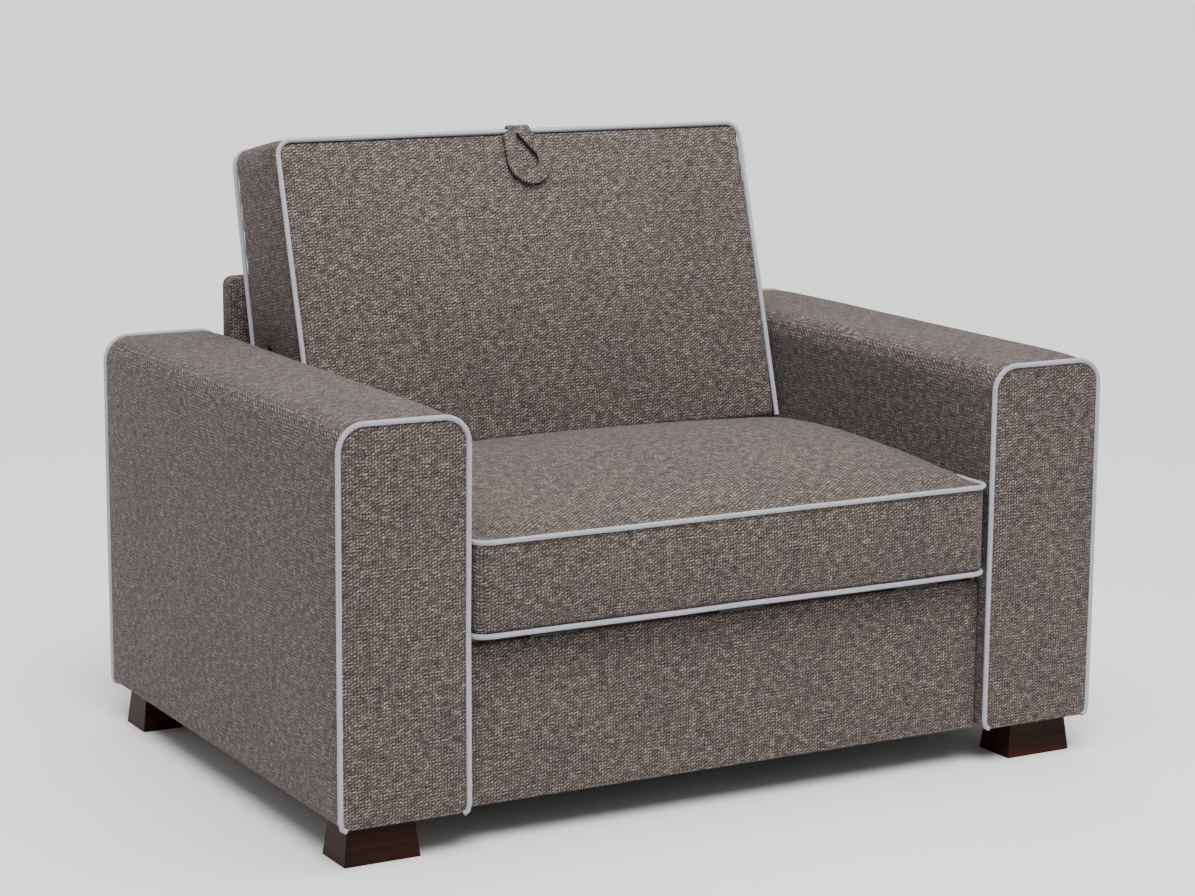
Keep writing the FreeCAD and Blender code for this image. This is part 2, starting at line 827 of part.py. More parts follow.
def pull_loop():
    """A folded strap that hangs down the front face and is sewn in behind the top piping.

    It is built round the middle of the piping, then tilted to lie against the face.
    """
    centre = loop_outer_radius - loop_length
    outer = teardrop(loop_top_width / 2, loop_parting, loop_outer_radius, centre)
    eye = teardrop(0, -loop_parting, loop_eye_radius, centre)
    gap = piping_radius + piping_clearance
    band = outer.cut(eye).extrude(Vector(0, -loop_thickness, 0))
    band.translate(Vector(0, -gap, 0))
    band.rotate(Vector(0, 0, 0), Y_AXIS, -loop_swing)
    above = box(-loop_length, loop_length, -loop_length, loop_length, 0, loop_length)
    band = band.cut(above)
    width = band.common(moved(above, 0, 0, -0.1)).BoundBox
    strip = Part.Face(Part.makePolygon([Vector(width.XMin, y, 0) for y in (-gap, -gap - loop_thickness)]
                                       + [Vector(width.XMax, y, 0) for y in (-gap - loop_thickness, -gap)]
                                       + [Vector(width.XMin, -gap, 0)]))
    wrap = strip.revolve(Vector(0, 0, 0), X_AXIS, -loop_wrap)
    return moved(turned(join([band, wrap]), -loop_tilt), loop_offset, -back_top_thickness, back_front_height)


# Legs that swing down when the bed is open


def leg_length():
    return bed_level - leg_pivot_depth - leg_floor_gap


def leg():
    """A flat steel leg, stored pointing down beside the back."""
    x0 = back_half_width + leg_side_gap
    x1 = x0 + leg_thickness
    half = leg_width / 2
    y = -leg_pivot_depth
    low = leg_pivot_height - leg_length() + leg_cap_wall
    bar = box(x0, x1, y - half, y + half, low, leg_pivot_height)
    eye = rod_x(y, leg_pivot_height, half, x0, x1)
    bore = rod_x(y, leg_pivot_height, leg_axle_radius, x0 - 1, x1 + 1)
    return join([bar, eye]).cut(bore)


def leg_cap():
    """Rubber cap pushed over the leg's end."""
    x0 = back_half_width + leg_side_gap
    half = leg_width / 2 + leg_cap_wall
    y = -leg_pivot_depth
    low = leg_pivot_height - leg_length()
    block = box(x0 - leg_cap_wall, x0 + leg_thickness + leg_cap_wall, y - half, y + half, low, low + leg_cap_height)
    bar = box(x0, x0 + leg_thickness, y - leg_width / 2, y + leg_width / 2, low + leg_cap_wall, leg_pivot_height)
    return block.cut(bar)


def leg_axle():
    reach = back_half_width + leg_side_gap + leg_thickness
    tube = rod_x(-leg_pivot_depth, leg_pivot_height, leg_axle_radius, -reach, reach)
    bore = rod_x(-leg_pivot_depth, leg_pivot_height, leg_axle_radius - leg_axle_wall, -reach - 1, reach + 1)
    return tube.cut(bore)


def build():
    """Every node's name and shape."""
    nodes = {}
    cover = rail_bolt_holes(arm_cover())
    frame = rail_bolt_holes(arm_frame())
    feet = foot_places()
    holes = []
    bolts = []
    for x, y in feet.values():
        bolts += [moved(bolt, x, y, 0) for bolt in foot_bolts()]
        for side in (-1, 1):
            holes.append(Part.makeCylinder(foot_bolt_radius + piping_clearance, 2 * foot_height,
                                           Vector(x + side * foot_bolt_spacing / 2, y, 0)))
    frame = frame.cut(Part.Compound(holes))
    nodes["right_arm_cover"] = cover
    nodes["left_arm_cover"] = mirrored(cover)
    nodes["right_arm_frame"] = frame
    nodes["left_arm_frame"] = mirrored(frame)
    nodes["right_arm_piping"] = arm_piping()
    nodes["left_arm_piping"] = mirrored(arm_piping())
    for name, (x, y) in feet.items():
        nodes[name] = moved(foot(), x, y, 0)
    nodes["foot_bolts"] = Part.Compound(bolts)

    nodes["front_panel"] = front_panel()
    nodes["front_rail"] = front_rail()
    nodes["rear_panel_cover"] = rear_panel_cover()
    nodes["rear_panel_board"] = rear_panel_board()
    rail = rail_bolt_holes(side_rail())
    nodes["right_side_rail"] = rail
    nodes["left_side_rail"] = mirrored(rail)
    nodes["right_slat_ledger"] = slat_ledger()
    nodes["left_slat_ledger"] = mirrored(slat_ledger())
    nodes["deck_slats"] = Part.Compound(deck_slats())
    nodes["head_mattress"] = head_mattress()
    nodes["seat_rests"] = Part.Compound(seat_rests())
    nodes["back_buffers"] = Part.Compound(back_buffers())
    nodes["rail_bolts"] = Part.Compound(rail_bolts())
    nodes["dust_cover"] = dust_cover()
    nodes["front_hinge_base_leaves"] = Part.Compound(at_hinges(front_base_leaf(), front_hinge_y, front_hinge_z))
    nodes["front_hinge_pins"] = Part.Compound(at_hinges(hinge_pin(), front_hinge_y, front_hinge_z))

    nodes["front_hinge_seat_leaves"] = Part.Compound(at_hinges(front_seat_leaf(), front_hinge_y, front_hinge_z))
    nodes["seat_cushion"] = seat_cushion()
    nodes["seat_top_piping"] = seat_piping(seat_front_top, piping_radius)
    nodes["seat_bottom_piping"] = seat_piping(seat_bottom, piping_radius)
    fold_seat = at_hinges(fold_seat_leaf(), fold_hinge_y, fold_hinge_z)
    nodes["seat_frame"] = seat_frame()
    nodes["seat_straps"] = Part.Compound(seat_straps())
    nodes["middle_mattress"] = middle_mattress()
    nodes["fold_hinge_seat_leaves"] = Part.Compound(fold_seat)
    nodes["fold_hinge_pins"] = Part.Compound(at_hinges(hinge_pin(), fold_hinge_y, fold_hinge_z))

    nodes["fold_hinge_back_leaves"] = Part.Compound(at_hinges(fold_back_leaf(), fold_hinge_y, fold_hinge_z))
    nodes["back_cushion"] = leaned(back_cushion())
    nodes["back_front_piping"] = leaned(back_front_piping(piping_radius))
    nodes["back_rear_piping"] = leaned(back_rear_piping(piping_radius))
    nodes["back_frame"] = leaned(back_frame())
    nodes["back_straps"] = leaned(Part.Compound(back_straps()))
    nodes["foot_mattress"] = leaned(foot_mattress())
    nodes["leg_bushes"] = leaned(Part.Compound(leg_bushes()))
    nodes["pull_loop"] = leaned(pull_loop())

    nodes["leg_axle"] = leaned(leg_axle())
    nodes["right_leg"] = leaned(leg())
    nodes["left_leg"] = leaned(mirrored(leg()))
    nodes["leg_caps"] = leaned(Part.Compound([leg_cap(), mirrored(leg_cap())]))
    return nodes


def save(nodes):
    os.makedirs("parts", exist_ok=True)
    for name, shape in nodes.items():
        placed = moved(shape, 0, -depth_middle, 0)
        placed.exportStep(os.path.join("parts", name + ".step"))
        extent = placed.BoundBox
        print(f"{name:26s} solids {len(placed.Solids)} valid {placed.isValid()} volume {placed.Volume:.0f} "
              f"x {extent.XMin:.1f} {extent.XMax:.1f} y {extent.YMin:.1f} {extent.YMax:.1f} "
              f"z {extent.ZMin:.1f} {extent.ZMax:.1f}")


save(build())
print(f"origin lies {depth_middle:.2f} mm behind the front plane of the arms")
print(f"fold hinge at y {fold_hinge_y - depth_middle:.3f}, z {fold_hinge_z:.3f}")
print(f"front hinge at y {front_hinge_y - depth_middle:.3f}, z {front_hinge_z:.3f}")
pivot = leaned(Part.Vertex(0, -leg_pivot_depth, leg_pivot_height)).Point
print(f"leg pivot at y {pivot.y - depth_middle:.3f}, z {pivot.z:.3f}")
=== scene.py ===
# %% [markdown]
# # Convertible chair bed: dressing a fixed frame
#
# The chair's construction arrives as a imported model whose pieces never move. This notebook
# gives that frame its looks: stuffed cushions, padded arms in a coarse flecked weave, pale
# corded piping, dark wooden feet and the plainer parts inside. Everything is in metres.

# %% Load the frame
import json
import math

import bmesh
import bpy
from mathutils import Matrix, Vector, noise


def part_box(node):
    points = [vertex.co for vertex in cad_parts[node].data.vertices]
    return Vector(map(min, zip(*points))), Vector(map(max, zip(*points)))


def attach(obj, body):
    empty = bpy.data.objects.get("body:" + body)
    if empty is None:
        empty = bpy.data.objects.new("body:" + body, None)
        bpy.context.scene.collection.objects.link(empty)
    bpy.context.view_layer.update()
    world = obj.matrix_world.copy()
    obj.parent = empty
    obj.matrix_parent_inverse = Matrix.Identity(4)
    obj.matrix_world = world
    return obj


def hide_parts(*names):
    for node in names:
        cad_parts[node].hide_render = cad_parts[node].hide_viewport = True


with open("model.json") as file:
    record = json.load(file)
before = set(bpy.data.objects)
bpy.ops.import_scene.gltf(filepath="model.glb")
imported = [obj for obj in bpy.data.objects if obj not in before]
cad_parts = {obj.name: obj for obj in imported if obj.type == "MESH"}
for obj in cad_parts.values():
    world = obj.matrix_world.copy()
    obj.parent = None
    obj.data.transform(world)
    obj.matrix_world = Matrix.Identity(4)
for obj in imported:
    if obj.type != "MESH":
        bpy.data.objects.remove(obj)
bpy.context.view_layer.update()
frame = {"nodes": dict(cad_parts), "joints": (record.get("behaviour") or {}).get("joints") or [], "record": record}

nodes = frame["nodes"]
body_of_node = {
    node: body
    for body, members in frame["record"]["behaviour"]["bodies"].items()
    for node in members
}

# %% [markdown]
# ## The camera
#
# The photograph was taken with a long lens from a little above the arms. A camera can be
# placed by eye, or worked out from corners whose real places are known. Here the angles,
# the distance and the lens come from such a fit, so the chair lies on the picture as it does
# in the photograph.

# %% Camera
picture_width, picture_height = 1195, 896
focal_pixels = 3056.6
centre_pixel = (599.07, 447.73)
camera_place = Vector((-2.1561, -3.8433, 1.2756))
yaw, pitch, roll = (math.radians(angle) for angle in (29.353, 10.761, 0.407))

camera = bpy.data.objects.new("camera", bpy.data.cameras.new("camera"))
bpy.context.scene.collection.objects.link(camera)
camera.matrix_world = (
    Matrix.Translation(camera_place)
    @ Matrix.Rotation(-yaw, 4, "Z")
    @ Matrix.Rotation(math.pi / 2 - pitch, 4, "X")
    @ Matrix.Rotation(roll, 4, "Z")
)
camera.data.sensor_width = 36.0
camera.data.lens = 36.0 * focal_pixels / picture_width
camera.data.shift_x = (picture_width / 2 - centre_pixel[0]) / picture_width
camera.data.shift_y = (centre_pixel[1] - picture_height / 2) / picture_width
bpy.context.scene.camera = camera
print(f"lens {camera.data.lens:.1f} mm, {camera_place.length:.2f} m from the chair")

# %% [markdown]
# ## Floor and light
#
# The chair stands in a bright white studio. A wide pale floor runs out of sight, so it needs
# no horizon, and a white sky fills the shadows. One large soft lamp above and behind the
# camera side makes the tops lighter than the fronts, as they are in the photograph.

# %% Floor
def new_object(name, bm):
    """Puts a finished bmesh into the scene as an object at the origin."""
    mesh = bpy.data.meshes.new(name)
    bm.to_mesh(mesh)
    bm.free()
    piece = bpy.data.objects.new(name, mesh)
    bpy.context.scene.collection.objects.link(piece)
    return piece


floor_mesh = bmesh.new()
bmesh.ops.create_grid(floor_mesh, x_segments=1, y_segments=1, size=60.0)
floor = new_object("studio_floor", floor_mesh)

# %% Lamps and sky
sky_strength = 0.48
world = bpy.data.worlds.new("studio")
world.use_nodes = True
world.node_tree.nodes["Background"].inputs["Color"].default_value = (1.0, 1.0, 1.0, 1.0)
world.node_tree.nodes["Background"].inputs["Strength"].default_value = sky_strength
bpy.context.scene.world = world


def soft_sun(name, towards_lamp, strength, spread):
    """A broad, distant lamp. Its spread in degrees sets how soft the shadows are."""
    data = bpy.data.lights.new(name, "SUN")
    data.energy = strength
    data.angle = math.radians(spread)
    lamp = bpy.data.objects.new(name, data)
    bpy.context.scene.collection.objects.link(lamp)
    lamp.rotation_mode = "QUATERNION"
    lamp.rotation_quaternion = Vector(towards_lamp).to_track_quat("Z", "Y")
    return lamp


def soft_box(name, place, target, size, power):
    """A large square lamp aimed at a point."""
    data = bpy.data.lights.new(name, "AREA")
    data.shape = "SQUARE"
    data.size, data.energy = size, power
    lamp = bpy.data.objects.new(name, data)
    bpy.context.scene.collection.objects.link(lamp)
    lamp.location = place
    lamp.rotation_mode = "QUATERNION"
    lamp.rotation_quaternion = (Vector(place) - Vector(target)).to_track_quat("Z", "Y")
    return lamp


soft_sun("key", (-0.5, -1.2, 2.0), 3.8, 32.0)
soft_sun("rear_fill", (0.4, 1.0, 1.6), 0.6, 40.0)
soft_box("overhead", (0.0, -0.5, 2.0), (0.0, -0.1, 0.4), 1.3, 27.0)
print("3 lamps and a white sky")

# %% [markdown]
# ## Materials
#
# Each finish is a small graph of nodes. A helper adds nodes and links them by name, so that
# a graph reads from its pattern to its shader. Patterns on cloth read a UV map that is laid
# in metres on the surface; patterns on wood and metal read the object's own coordinates.

# %% Node helpers
class Finish:
    """A material under construction, with short ways to add and join its nodes."""

    def __init__(self, name, roughness=0.5, metallic=0.0):
        self.material = bpy.data.materials.new(name)
        self.material.use_nodes = True
        self.tree = self.material.node_tree
        self.shader = self.tree.nodes["Principled BSDF"]
        self.shader.inputs["Roughness"].default_value = roughness
        self.shader.inputs["Metallic"].default_value = metallic

    def add(self, kind, **settings):
        node = self.tree.nodes.new(kind)
        for key, value in settings.items():
            setattr(node, key, value)
        return node

    def link(self, output, target):
        self.tree.links.new(output, target)

    def coordinates(self, source, scale=(1, 1, 1), turn=(0, 0, 0)):
        """Coordinates of the surface, scaled and turned."""
        reader = self.add("ShaderNodeTexCoord")
        mapping = self.add("ShaderNodeMapping")
        mapping.inputs["Scale"].default_value = scale
        mapping.inputs["Rotation"].default_value = turn
        self.link(reader.outputs[source], mapping.inputs["Vector"])
        return mapping.outputs["Vector"]

    def noise(self, vector, scale, detail=2.0, roughness=0.5):
        node = self.add("ShaderNodeTexNoise")
        node.inputs["Scale"].default_value = scale
        node.inputs["Detail"].default_value = detail
        node.inputs["Roughness"].default_value = roughness
        self.link(vector, node.inputs["Vector"])
        return node.outputs["Fac"]

    def bands(self, vector, scale, distortion=0.0, direction="X", detail=0.0):
        node = self.add("ShaderNodeTexWave", bands_direction=direction)
        node.inputs["Scale"].default_value = scale
        node.inputs["Distortion"].default_value = distortion
        node.inputs["Detail"].default_value = detail
        self.link(vector, node.inputs["Vector"])
        return node.outputs["Fac"]

    def math(self, operation, first, second):
        node = self.add("ShaderNodeMath", operation=operation)
        for socket, value in zip(node.inputs, (first, second)):
            if isinstance(value, (int, float)):
                socket.default_value = value
            else:
                self.link(value, socket)
        return node.outputs[0]

    def ramp(self, factor, stops):
        """Colours along a factor: stops are (place, colour) pairs."""
        node = self.add("ShaderNodeValToRGB")
        while len(node.color_ramp.elements) < len(stops):
            node.color_ramp.elements.new(0.5)
        for element, (place, colour) in zip(node.color_ramp.elements, stops):
            element.position = place
            element.color = (*colour, 1.0)
        self.link(factor, node.inputs["Fac"])
        return node.outputs["Color"]

    def mix(self, factor, first, second):
        node = self.add("ShaderNodeMix", data_type="RGBA")
        for socket, value in ((node.inputs["Factor"], factor), (node.inputs[6], first), (node.inputs[7], second)):
            if isinstance(value, (int, float)):
                socket.default_value = value
            elif isinstance(value, tuple):
                socket.default_value = (*value, 1.0)
            else:
                self.link(value, socket)
        return node.outputs[2]

    def colour(self, output):
        self.link(output, self.shader.inputs["Base Color"])

    def bump(self, height, depth, strength=1.0):
        """Relief of the given depth in metres."""
        node = self.add("ShaderNodeBump")
        node.inputs["Strength"].default_value = strength
        node.inputs["Distance"].default_value = depth
        self.link(height, node.inputs["Height"])
        self.link(node.outputs["Normal"], self.shader.inputs["Normal"])


# %% [markdown]
# ### The flecked weave
#
# The cover is a coarse twill of grey-brown yarns about two millimetres thick, with lighter
# and darker flecks a few millimetres long. Two sets of fine bands cross to make the yarns,
# one diagonal band makes the twill line, and noise stretched along each yarn makes the
# flecks. A little sheen lightens the cloth where it is seen edge on.

# %% Upholstery
yarn_pitch = 0.0044
yarn_bands = 2 * math.pi / (20 * yarn_pitch)   # a wave texture turns 20 radians per unit of scale


def flecked_weave():
    finish = Finish("flecked_weave", roughness=0.92)
    surface = finish.coordinates("UV")
    warp_rows = finish.bands(surface, yarn_bands, 1.5, "X")
    weft_rows = finish.bands(surface, yarn_bands, 1.5, "Y")
    twill = finish.bands(finish.coordinates("UV", turn=(0, 0, math.radians(60))), yarn_bands, 1.0)
    fuzz = finish.noise(surface, 420.0, 1.0)
    weft_slubs = finish.noise(finish.coordinates("UV", (70.0, 420.0, 1.0)), 1.0, 1.0)
    warp_slubs = finish.noise(finish.coordinates("UV", (420.0, 90.0, 1.0)), 1.0, 1.0)
    mottle = finish.noise(surface, 85.0, 2.0)
    cloud = finish.noise(surface, 9.0, 3.0)
    pattern = 0.0
    for layer, share in ((warp_rows, 0.045), (weft_rows, 0.045), (twill, 0.08), (fuzz, 0.33), (weft_slubs, 0.22),
                         (warp_slubs, 0.13), (mottle, 0.15)):
        pattern = finish.math("ADD", finish.math("MULTIPLY", layer, share), pattern)
    flecks = finish.ramp(pattern, [
        (0.36, (0.012, 0.008, 0.007)),
        (0.45, (0.042, 0.032, 0.028)),
        (0.54, (0.092, 0.076, 0.067)),
        (0.64, (0.300, 0.270, 0.240)),
    ])
    shade = finish.ramp(cloud, [(0.3, (0.90, 0.90, 0.91)), (0.7, (1.06, 1.05, 1.04))])
    blend = finish.add("ShaderNodeMix", data_type="RGBA", blend_type="MULTIPLY")
    blend.inputs["Factor"].default_value = 1.0
    finish.link(flecks, blend.inputs[6])
    finish.link(shade, blend.inputs[7])
    finish.colour(blend.outputs[2])
    finish.bump(pattern, 0.0010, 0.6)
    finish.shader.inputs["Sheen Weight"].default_value = 0.08
    finish.shader.inputs["Sheen Roughness"].default_value = 0.45
    finish.shader.inputs["Sheen Tint"].default_value = (0.82, 0.86, 0.95, 1.0)
    finish.shader.inputs["Specular IOR Level"].default_value = 0.2
    return finish.material


# %% [markdown]
# ### Piping, ticking and the inner cloths
#
# The piping is a smooth pale cord, woven finely enough to read as felt. The mattress
# covers are plain ticking with a narrow stripe, and the straps and dust cloth are black.

# %% Plainer cloths
def pale_cord():
    finish = Finish("pale_cord", roughness=0.85)
    weave = finish.bands(finish.coordinates("UV", (1.0, 1.0, 1.0)), 160.0, 0.6)
    tone = finish.noise(finish.coordinates("UV", (40.0, 40.0, 1.0)), 1.0, 2.0)
    finish.colour(finish.ramp(tone, [(0.3, (0.24, 0.25, 0.29)), (0.7, (0.35, 0.36, 0.41))]))
    finish.bump(weave, 0.0003, 0.5)
    finish.shader.inputs["Sheen Weight"].default_value = 0.25
    return finish.material


def striped_ticking():
    finish = Finish("striped_ticking", roughness=0.9)
    stripe = finish.bands(finish.coordinates("UV"), 10.0)
    threads = finish.noise(finish.coordinates("UV", (900.0, 500.0, 1.0)), 1.0, 1.0)
    ground = finish.ramp(threads, [(0.35, (0.50, 0.49, 0.46)), (0.65, (0.66, 0.65, 0.61))])
    line = finish.ramp(stripe, [(0.92, (0.0, 0.0, 0.0)), (0.97, (1.0, 1.0, 1.0))])
    finish.colour(finish.mix(line, ground, (0.20, 0.23, 0.27)))
    finish.bump(threads, 0.0003, 0.5)
    return finish.material


def black_cloth(name, tone, thread):
    finish = Finish(name, roughness=0.9)
    threads = finish.noise(finish.coordinates("Object", thread), 1.0, 2.0)
    finish.colour(finish.ramp(threads, [(0.35, tuple(0.5 * tone for _ in range(3))), (0.65, (tone, tone, tone))]))
    finish.bump(threads, 0.0003, 0.6)
    return finish.material


# %% [markdown]
# ### Wood
#
# The feet are stained so dark that the grain only shows as soft reddish streaks. The pine
# and beech inside are pale. All three are one function: noise that is stretched along the
# grain, with a colour for the early and the late wood.

# %% Woods
def wood(name, early, late, roughness, grain=(3.0, 90.0, 90.0), coat=0.0, gloss=0.5):
    finish = Finish(name, roughness=roughness)
    along = finish.coordinates("Object", grain)
    streaks = finish.noise(along, 1.0, 4.0, 0.65)
    pores = finish.noise(finish.coordinates("Object", tuple(6 * step for step in grain)), 1.0, 2.0)
    tone = finish.ramp(streaks, [(0.32, late), (0.68, early)])
    dark = tuple(0.6 * level for level in late)
    finish.colour(finish.mix(finish.ramp(pores, [(0.28, (1.0, 1.0, 1.0)), (0.36, (0.0, 0.0, 0.0))]), tone, dark))
    finish.bump(streaks, 0.0004, 0.4)
    finish.shader.inputs["Specular IOR Level"].default_value = gloss
    finish.shader.inputs["Coat Weight"].default_value = coat
    finish.shader.inputs["Coat Roughness"].default_value = 0.25
    return finish.material


# %% [markdown]
# ### Metal, rubber and nylon
#
# The hinges and bolts are zinc plated, with the faint cloudy bloom that plating has. The
# frame and legs have a matt powder coat with a fine orange-peel skin. Rubber and nylon are
# near-black with a soft surface.

# %% Hard finishes
def plain_finish(name, low, high, roughness, metallic, cell, depth, gloss=0.5):
    """A finish whose tone wanders a little between two colours, with fine relief."""
    finish = Finish(name, roughness=roughness, metallic=metallic)
    finish.shader.inputs["Specular IOR Level"].default_value = gloss
    cloud = finish.noise(finish.coordinates("Object"), 35.0, 3.0)
    skin = finish.noise(finish.coordinates("Object"), cell, 2.0)
    finish.colour(finish.ramp(cloud, [(0.35, low), (0.65, high)]))
    finish.bump(skin, depth, 0.5)
    return finish.material


finishes = {
    "upholstery": flecked_weave(),
    "piping": pale_cord(),
    "ticking": striped_ticking(),
    "webbing": black_cloth("black_webbing", 0.05, (900.0, 250.0, 900.0)),
    "dust_cloth": black_cloth("black_dust_cloth", 0.03, (500.0, 500.0, 500.0)),
    "dark_wood": wood("dark_stained_wood", (0.034, 0.010, 0.004), (0.009, 0.003, 0.002), 0.42, gloss=0.09),
    "pine": wood("planed_pine", (0.46, 0.32, 0.18), (0.30, 0.19, 0.09), 0.6, (60.0, 3.0, 60.0)),
    "beech_slat": wood("lacquered_beech", (0.72, 0.54, 0.36), (0.60, 0.42, 0.26), 0.35, (4.0, 120.0, 120.0), 0.4),
    "black_rubber": plain_finish("black_rubber", (0.015,) * 3, (0.03,) * 3, 0.8, 0.0, 700.0, 0.0002),
    "bushing": plain_finish("grey_nylon", (0.05,) * 3, (0.08,) * 3, 0.45, 0.0, 500.0, 0.0001),
    "zinc_steel": plain_finish("zinc_plated_steel", (0.50, 0.51, 0.53), (0.66, 0.67, 0.69), 0.32, 1.0, 300.0, 0.0001),
    "black_steel": plain_finish("black_powder_coat", (0.010,) * 3, (0.017,) * 3, 0.6, 0.0, 900.0, 0.0003, gloss=0.2),
}
slot_of_node = {entry["node"]: entry["material_slot"] for entry in frame["record"]["subparts"]}


def give_finish(piece, slot):
    """One finish on the whole piece."""
    piece.data.materials.clear()
    piece.data.materials.append(finishes[slot])


for name, piece in nodes.items():
    give_finish(piece, slot_of_node[name])
floor_finish = Finish("pale_floor", roughness=0.6)
floor_tone = floor_finish.noise(floor_finish.coordinates("Object"), 0.8)
floor_finish.colour(floor_finish.ramp(floor_tone, [(0.2, (0.90, 0.90, 0.90)), (0.8, (0.92, 0.92, 0.92))]))
floor.data.materials.append(floor_finish.material)
print(len(finishes), "finishes")

# %% [markdown]
# ## Padded blocks
#
# An upholstered arm is a timber box under foam and cloth: straight at a glance, but its
# faces swell by a few millimetres between the seams. Such a block could be sculpted or
# simulated. A box that is cut into cells and then pushed outwards, least at its seams, is
# quicker and keeps the outline exact, so the arms and the panels are made that way.

# %% Blocks and their outline
def cube_between(low, high):
    """A bmesh box between two corners."""
    bm = bmesh.new()
    bmesh.ops.create_cube(bm, size=1.0)
    bmesh.ops.scale(bm, vec=high - low, verts=bm.verts)
    bmesh.ops.translate(bm, vec=(low + high) / 2, verts=bm.verts)
    return bm


def round_edges(bm, chosen, radius, segments):
    """Rounds the edges for which chosen(edge middle, edge direction) is true."""
    edges = [
        edge for edge in bm.edges
        if chosen((edge.verts[0].co + edge.verts[1].co) / 2, (edge.verts[1].co - edge.verts[0].co).normalized())
    ]
    bmesh.ops.bevel(bm, geom=edges, offset=radius, segments=segments, profile=0.5, affect="EDGES", material=-1)


def cut_cells(bm, cell):
    """Cuts the faces into a grid of cells about this long."""
    for axis in range(3):
        places = [vertex.co[axis] for vertex in bm.verts]
        low, high = min(places), max(places)
        count = max(2, round((high - low) / cell))
        for step in range(1, count):
            plane = Vector((0.0, 0.0, 0.0))
            normal = Vector((0.0, 0.0, 0.0))
            plane[axis] = low + (high - low) * step / count
            normal[axis] = 1.0
            bmesh.ops.bisect_plane(bm, geom=bm.verts[:] + bm.edges[:] + bm.faces[:], dist=1e-6,
                                   plane_co=plane, plane_no=normal)


# %% Swelling between seams
def swell_faces(bm, low, high, swell, reach):
    """Pushes the skin outwards, by swell[axis] = (towards -, towards +), from nothing at a seam.

    The seams run round both ends of the block along Y, and along its bottom.
    """
    bm.normal_update()
    moves = []
    for vertex in bm.verts:
        normal = vertex.normal
        to_end = min(vertex.co.y - low.y, high.y - vertex.co.y)
        to_side = min(vertex.co.x - low.x, high.x - vertex.co.x)
        to_bottom = vertex.co.z - low.z
        if abs(normal.y) > 0.9:
            distance = min(to_side, high.z - vertex.co.z, to_bottom)
        else:
            distance = min(to_end, to_bottom)
        share = 1.0 - math.exp(-max(distance, 0.0) / reach)
        amount = sum(abs(normal[axis]) * swell[axis][normal[axis] > 0] for axis in range(3))
        uneven = 1.0 + 0.35 * noise.noise(vertex.co * 5.0)
        moves.append((vertex, normal * amount * share * uneven))
    for vertex, move in moves:
        vertex.co += move


# %% [markdown]
# ### Laying the weave
#
# The cloth's pattern has to follow the surface at its real size. A full unwrap isn't needed
# for a weave with no motif: each face takes the two coordinates that it faces least, in
# metres. The seams of that map fall on the rounded edges, where a seam would be.

# %% Weave map
def lay_weave(piece, turn=None):
    """A UV map in metres, by the direction that each face looks in. turn stands the piece upright."""
    upright = turn or Matrix.Identity(4)
    bm = bmesh.new()
    bm.from_mesh(piece.data)
    layer = bm.loops.layers.uv.new("weave")
    for face in bm.faces:
        normal = upright.to_3x3() @ face.normal
        facing = max(range(3), key=lambda axis: abs(normal[axis]))
        across, along = [(1, 2), (0, 2), (0, 1)][facing]
        for loop in face.loops:
            place = upright @ loop.vert.co
            loop[layer].uv = (place[across], place[along])
    bm.to_mesh(piece.data)
    bm.free()


def dress(piece, *replaced, slot="upholstery", fill=None, turn=None):
    """The last steps for a cloth piece: weave, finish, smooth shading, body and the nodes it stands for."""
    lay_weave(piece, turn)
    give_finish(piece, slot)
    piece.data.shade_smooth()
    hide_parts(*replaced)
    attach(piece, body_of_node[replaced[0]])
    return piece


# %% [markdown]
# ## The arms
#
# Each arm is a box with its upper edges rounded, in one length of cloth from the inner foot
# over the top to the outer foot, with a sewn-in panel at each end. The inner face stays
# nearly flat, because the seat slides along it.

# %% Arms
arm_top_radius = 0.036
arm_foot_radius = 0.012
cell = 0.016
arm_swell = 0.0035

for side, name in ((-1, "left_arm"), (1, "right_arm")):
    low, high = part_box(name + "_cover")
    bm = cube_between(low, high)
    round_edges(bm, lambda middle, along: abs(along.y) > 0.9 and middle.z > high.z - 0.001, arm_top_radius, 8)
    round_edges(bm, lambda middle, along: abs(along.z) < 0.5 and middle.z < low.z + 0.001
                and middle.y > low.y + 0.001, arm_foot_radius, 4)
    cut_cells(bm, cell)
    inner, outer = 0.0012, arm_swell
    across = (outer, inner) if side < 0 else (inner, outer)
    swell_faces(bm, low, high, (across, (arm_swell, arm_swell), (0.0, arm_swell)), 0.03)
    arm = new_object(name + "_upholstery", bm)
    arm.data.shade_smooth()
    dress(arm, name + "_cover", fill=0.9)
    arm.data.set_sharp_from_angle(angle=math.radians(50))
    print(arm.name, len(arm.data.polygons), "faces")

# %% [markdown]
# ## Front and rear panels
#
# The front panel is a thin padded board with rounded upper corners, set a little behind the
# arms. The rear panel closes the back between the arms. Both have soft edges all round,
# where the cloth is pulled over the board.

# %% Panels
def padded_board(name, node, corner, edge, swell):
    low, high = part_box(node)
    bm = cube_between(low, high)
    round_edges(bm, lambda middle, along: abs(along.y) > 0.9 and middle.z > high.z - 0.001, corner, 6)
    round_edges(bm, lambda middle, along: abs(along.y) < 0.5 and middle.z > low.z + 0.001, edge, 3)
    cut_cells(bm, 0.02)
    swell_faces(bm, low, high, ((0.0, 0.0), (swell, swell), (0.0, 0.0)), 0.02)
    board = new_object(name, bm)
    dress(board, node, fill=0.95)
    board.data.set_sharp_from_angle(angle=math.radians(50))
    print(name, len(board.data.polygons), "faces")
    return board


padded_board("front_panel_upholstery", "front_panel", 0.012, 0.004, 0.0015)
padded_board("rear_panel_upholstery", "rear_panel_cover", 0.014, 0.005, 0.003)

